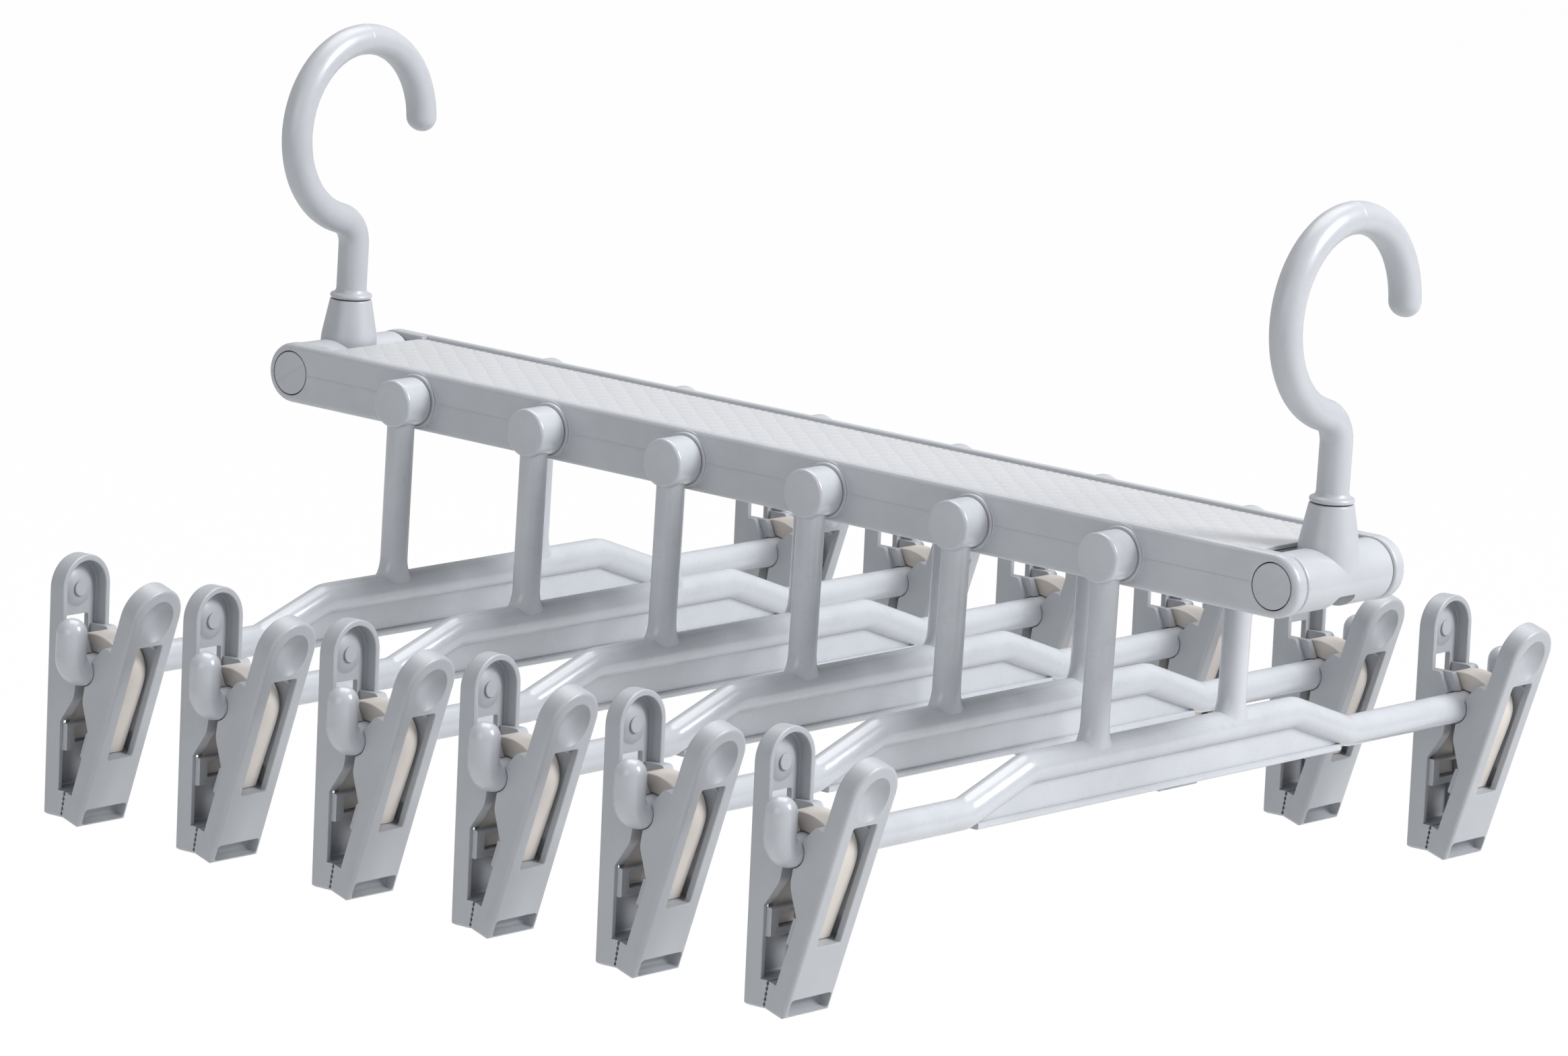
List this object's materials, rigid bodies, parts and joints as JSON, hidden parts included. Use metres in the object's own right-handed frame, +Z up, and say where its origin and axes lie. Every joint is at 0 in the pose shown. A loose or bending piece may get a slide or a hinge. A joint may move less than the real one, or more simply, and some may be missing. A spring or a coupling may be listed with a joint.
{
  "type": "tiered trouser hanger",
  "caption": "Flat beam on two swivel hooks, carrying a row of swinging hanger frames, each with sliding spring clips for trousers or skirts.",
  "frame": {"origin": "midway between the two hooks, at the height of the inside of their tops, where a rail carries them", "axes": "+X along the beam, +Y towards the side that the hooks open to, +Z up"},
  "size_m": [0.3646, 0.322, 0.2035],
  "materials": {
    "satin_grey_plastic": "satin",
    "matt_grey_plastic": "matt",
    "pearl_grey_plastic": "pearl",
    "cream_plastic": "satin",
    "pale_grey_sheet": "embossed with a fine weave"
  },
  "bodies": {
    "beam": {"beam": "satin_grey_plastic", "inlay_panel": "pale_grey_sheet"},
    "left_socket": {"hook_socket_left": "satin_grey_plastic"},
    "left_hook": {"hook_left": "satin_grey_plastic"},
    "right_socket": {"hook_socket_right": "satin_grey_plastic"},
    "right_hook": {"hook_right": "satin_grey_plastic"},
    "frame_1": {"hanger_1": "pearl_grey_plastic"},
    "near_clip_1": {"near_clip_1_left_jaw": "matt_grey_plastic", "near_clip_1_spring": "cream_plastic"},
    "near_clip_1_lever": {"near_clip_1_right_jaw": "matt_grey_plastic"},
    "far_clip_1": {"far_clip_1_left_jaw": "matt_grey_plastic", "far_clip_1_spring": "cream_plastic"},
    "far_clip_1_lever": {"far_clip_1_right_jaw": "matt_grey_plastic"},
    "frame_2": {"hanger_2": "pearl_grey_plastic"},
    "near_clip_2": {"near_clip_2_left_jaw": "matt_grey_plastic", "near_clip_2_spring": "cream_plastic"},
    "near_clip_2_lever": {"near_clip_2_right_jaw": "matt_grey_plastic"},
    "far_clip_2": {"far_clip_2_left_jaw": "matt_grey_plastic", "far_clip_2_spring": "cream_plastic"},
    "far_clip_2_lever": {"far_clip_2_right_jaw": "matt_grey_plastic"},
    "frame_3": {"hanger_3": "pearl_grey_plastic"},
    "near_clip_3": {"near_clip_3_left_jaw": "matt_grey_plastic", "near_clip_3_spring": "cream_plastic"},
    "near_clip_3_lever": {"near_clip_3_right_jaw": "matt_grey_plastic"},
    "far_clip_3": {"far_clip_3_left_jaw": "matt_grey_plastic", "far_clip_3_spring": "cream_plastic"},
    "far_clip_3_lever": {"far_clip_3_right_jaw": "matt_grey_plastic"},
    "frame_4": {"hanger_4": "pearl_grey_plastic"},
    "near_clip_4": {"near_clip_4_left_jaw": "matt_grey_plastic", "near_clip_4_spring": "cream_plastic"},
    "near_clip_4_lever": {"near_clip_4_right_jaw": "matt_grey_plastic"},
    "far_clip_4": {"far_clip_4_left_jaw": "matt_grey_plastic", "far_clip_4_spring": "cream_plastic"},
    "far_clip_4_lever": {"far_clip_4_right_jaw": "matt_grey_plastic"},
    "frame_5": {"hanger_5": "pearl_grey_plastic"},
    "near_clip_5": {"near_clip_5_left_jaw": "matt_grey_plastic", "near_clip_5_spring": "cream_plastic"},
    "near_clip_5_lever": {"near_clip_5_right_jaw": "matt_grey_plastic"},
    "far_clip_5": {"far_clip_5_left_jaw": "matt_grey_plastic", "far_clip_5_spring": "cream_plastic"},
    "far_clip_5_lever": {"far_clip_5_right_jaw": "matt_grey_plastic"},
    "frame_6": {"hanger_6": "pearl_grey_plastic"},
    "near_clip_6": {"near_clip_6_left_jaw": "matt_grey_plastic", "near_clip_6_spring": "cream_plastic"},
    "near_clip_6_lever": {"near_clip_6_right_jaw": "matt_grey_plastic"},
    "far_clip_6": {"far_clip_6_left_jaw": "matt_grey_plastic", "far_clip_6_spring": "cream_plastic"},
    "far_clip_6_lever": {"far_clip_6_right_jaw": "matt_grey_plastic"}
  },
  "joints": [
    {"name": "left_socket_tilt", "type": "hinge", "parent": "beam", "child": "left_socket", "pos_m": [-0.174, 0, -0.0899], "axis": [0, -1, 0], "range_deg": [-8, 90]},
    {"name": "left_hook_swivel", "type": "hinge", "parent": "left_socket", "child": "left_hook", "pos_m": [-0.174, 0, -0.0899], "axis": [0, 0, 1], "continuous": true},
    {"name": "right_socket_tilt", "type": "hinge", "parent": "beam", "child": "right_socket", "pos_m": [0.174, 0, -0.0899], "axis": [0, 1, 0], "range_deg": [-8, 90]},
    {"name": "right_hook_swivel", "type": "hinge", "parent": "right_socket", "child": "right_hook", "pos_m": [0.174, 0, -0.0899], "axis": [0, 0, 1], "continuous": true},
    {"name": "frame_1_swing", "type": "hinge", "parent": "beam", "child": "frame_1", "pos_m": [-0.125, 0, -0.0899], "axis": [0, 1, 0], "range_deg": [-40, 40]},
    {"name": "near_clip_1_slide", "type": "slide", "parent": "frame_1", "child": "near_clip_1", "axis": [0, 1, 0], "range_m": [0, 0.044]},
    {"name": "near_clip_1_open", "type": "hinge", "parent": "near_clip_1", "child": "near_clip_1_lever", "pos_m": [-0.125, -0.1435, -0.1514], "axis": [0, -1, 0], "range_deg": [0, 25], "stiffness_Nm_per_rad": 0.2, "springref_deg": -20.05, "deforming": ["near_clip_1_spring"]},
    {"name": "far_clip_1_slide", "type": "slide", "parent": "frame_1", "child": "far_clip_1", "axis": [0, -1, 0], "range_m": [0, 0.044]},
    {"name": "far_clip_1_open", "type": "hinge", "parent": "far_clip_1", "child": "far_clip_1_lever", "pos_m": [-0.125, 0.1435, -0.1514], "axis": [0, -1, 0], "range_deg": [0, 25], "stiffness_Nm_per_rad": 0.2, "springref_deg": -20.05, "deforming": ["far_clip_1_spring"]},
    {"name": "frame_2_swing", "type": "hinge", "parent": "beam", "child": "frame_2", "pos_m": [-0.075, 0, -0.0899], "axis": [0, 1, 0], "range_deg": [-40, 40]},
    {"name": "near_clip_2_slide", "type": "slide", "parent": "frame_2", "child": "near_clip_2", "axis": [0, 1, 0], "range_m": [0, 0.044]},
    {"name": "near_clip_2_open", "type": "hinge", "parent": "near_clip_2", "child": "near_clip_2_lever", "pos_m": [-0.075, -0.1435, -0.1514], "axis": [0, -1, 0], "range_deg": [0, 25], "stiffness_Nm_per_rad": 0.2, "springref_deg": -20.05, "deforming": ["near_clip_2_spring"]},
    {"name": "far_clip_2_slide", "type": "slide", "parent": "frame_2", "child": "far_clip_2", "axis": [0, -1, 0], "range_m": [0, 0.044]},
    {"name": "far_clip_2_open", "type": "hinge", "parent": "far_clip_2", "child": "far_clip_2_lever", "pos_m": [-0.075, 0.1435, -0.1514], "axis": [0, -1, 0], "range_deg": [0, 25], "stiffness_Nm_per_rad": 0.2, "springref_deg": -20.05, "deforming": ["far_clip_2_spring"]},
    {"name": "frame_3_swing", "type": "hinge", "parent": "beam", "child": "frame_3", "pos_m": [-0.025, 0, -0.0899], "axis": [0, 1, 0], "range_deg": [-40, 40]},
    {"name": "near_clip_3_slide", "type": "slide", "parent": "frame_3", "child": "near_clip_3", "axis": [0, 1, 0], "range_m": [0, 0.044]},
    {"name": "near_clip_3_open", "type": "hinge", "parent": "near_clip_3", "child": "near_clip_3_lever", "pos_m": [-0.025, -0.1435, -0.1514], "axis": [0, -1, 0], "range_deg": [0, 25], "stiffness_Nm_per_rad": 0.2, "springref_deg": -20.05, "deforming": ["near_clip_3_spring"]},
    {"name": "far_clip_3_slide", "type": "slide", "parent": "frame_3", "child": "far_clip_3", "axis": [0, -1, 0], "range_m": [0, 0.044]},
    {"name": "far_clip_3_open", "type": "hinge", "parent": "far_clip_3", "child": "far_clip_3_lever", "pos_m": [-0.025, 0.1435, -0.1514], "axis": [0, -1, 0], "range_deg": [0, 25], "stiffness_Nm_per_rad": 0.2, "springref_deg": -20.05, "deforming": ["far_clip_3_spring"]},
    {"name": "frame_4_swing", "type": "hinge", "parent": "beam", "child": "frame_4", "pos_m": [0.025, 0, -0.0899], "axis": [0, 1, 0], "range_deg": [-40, 40]},
    {"name": "near_clip_4_slide", "type": "slide", "parent": "frame_4", "child": "near_clip_4", "axis": [0, 1, 0], "range_m": [0, 0.044]},
    {"name": "near_clip_4_open", "type": "hinge", "parent": "near_clip_4", "child": "near_clip_4_lever", "pos_m": [0.025, -0.1435, -0.1514], "axis": [0, -1, 0], "range_deg": [0, 25], "stiffness_Nm_per_rad": 0.2, "springref_deg": -20.05, "deforming": ["near_clip_4_spring"]},
    {"name": "far_clip_4_slide", "type": "slide", "parent": "frame_4", "child": "far_clip_4", "axis": [0, -1, 0], "range_m": [0, 0.044]},
    {"name": "far_clip_4_open", "type": "hinge", "parent": "far_clip_4", "child": "far_clip_4_lever", "pos_m": [0.025, 0.1435, -0.1514], "axis": [0, -1, 0], "range_deg": [0, 25], "stiffness_Nm_per_rad": 0.2, "springref_deg": -20.05, "deforming": ["far_clip_4_spring"]},
    {"name": "frame_5_swing", "type": "hinge", "parent": "beam", "child": "frame_5", "pos_m": [0.075, 0, -0.0899], "axis": [0, 1, 0], "range_deg": [-40, 40]},
    {"name": "near_clip_5_slide", "type": "slide", "parent": "frame_5", "child": "near_clip_5", "axis": [0, 1, 0], "range_m": [0, 0.044]},
    {"name": "near_clip_5_open", "type": "hinge", "parent": "near_clip_5", "child": "near_clip_5_lever", "pos_m": [0.075, -0.1435, -0.1514], "axis": [0, -1, 0], "range_deg": [0, 25], "stiffness_Nm_per_rad": 0.2, "springref_deg": -20.05, "deforming": ["near_clip_5_spring"]},
    {"name": "far_clip_5_slide", "type": "slide", "parent": "frame_5", "child": "far_clip_5", "axis": [0, -1, 0], "range_m": [0, 0.044]},
    {"name": "far_clip_5_open", "type": "hinge", "parent": "far_clip_5", "child": "far_clip_5_lever", "pos_m": [0.075, 0.1435, -0.1514], "axis": [0, -1, 0], "range_deg": [0, 25], "stiffness_Nm_per_rad": 0.2, "springref_deg": -20.05, "deforming": ["far_clip_5_spring"]},
    {"name": "frame_6_swing", "type": "hinge", "parent": "beam", "child": "frame_6", "pos_m": [0.125, 0, -0.0899], "axis": [0, 1, 0], "range_deg": [-40, 40]},
    {"name": "near_clip_6_slide", "type": "slide", "parent": "frame_6", "child": "near_clip_6", "axis": [0, 1, 0], "range_m": [0, 0.044]},
    {"name": "near_clip_6_open", "type": "hinge", "parent": "near_clip_6", "child": "near_clip_6_lever", "pos_m": [0.125, -0.1435, -0.1514], "axis": [0, -1, 0], "range_deg": [0, 25], "stiffness_Nm_per_rad": 0.2, "springref_deg": -20.05, "deforming": ["near_clip_6_spring"]},
    {"name": "far_clip_6_slide", "type": "slide", "parent": "frame_6", "child": "far_clip_6", "axis": [0, -1, 0], "range_m": [0, 0.044]},
    {"name": "far_clip_6_open", "type": "hinge", "parent": "far_clip_6", "child": "far_clip_6_lever", "pos_m": [0.125, 0.1435, -0.1514], "axis": [0, -1, 0], "range_deg": [0, 25], "stiffness_Nm_per_rad": 0.2, "springref_deg": -20.05, "deforming": ["far_clip_6_spring"]}
  ],
  "couplings": [
    {"joint": "frame_2_swing", "follows": "frame_1_swing", "ratio": 1},
    {"joint": "frame_3_swing", "follows": "frame_1_swing", "ratio": 1},
    {"joint": "frame_4_swing", "follows": "frame_1_swing", "ratio": 1},
    {"joint": "frame_5_swing", "follows": "frame_1_swing", "ratio": 1},
    {"joint": "frame_6_swing", "follows": "frame_1_swing", "ratio": 1}
  ]
}
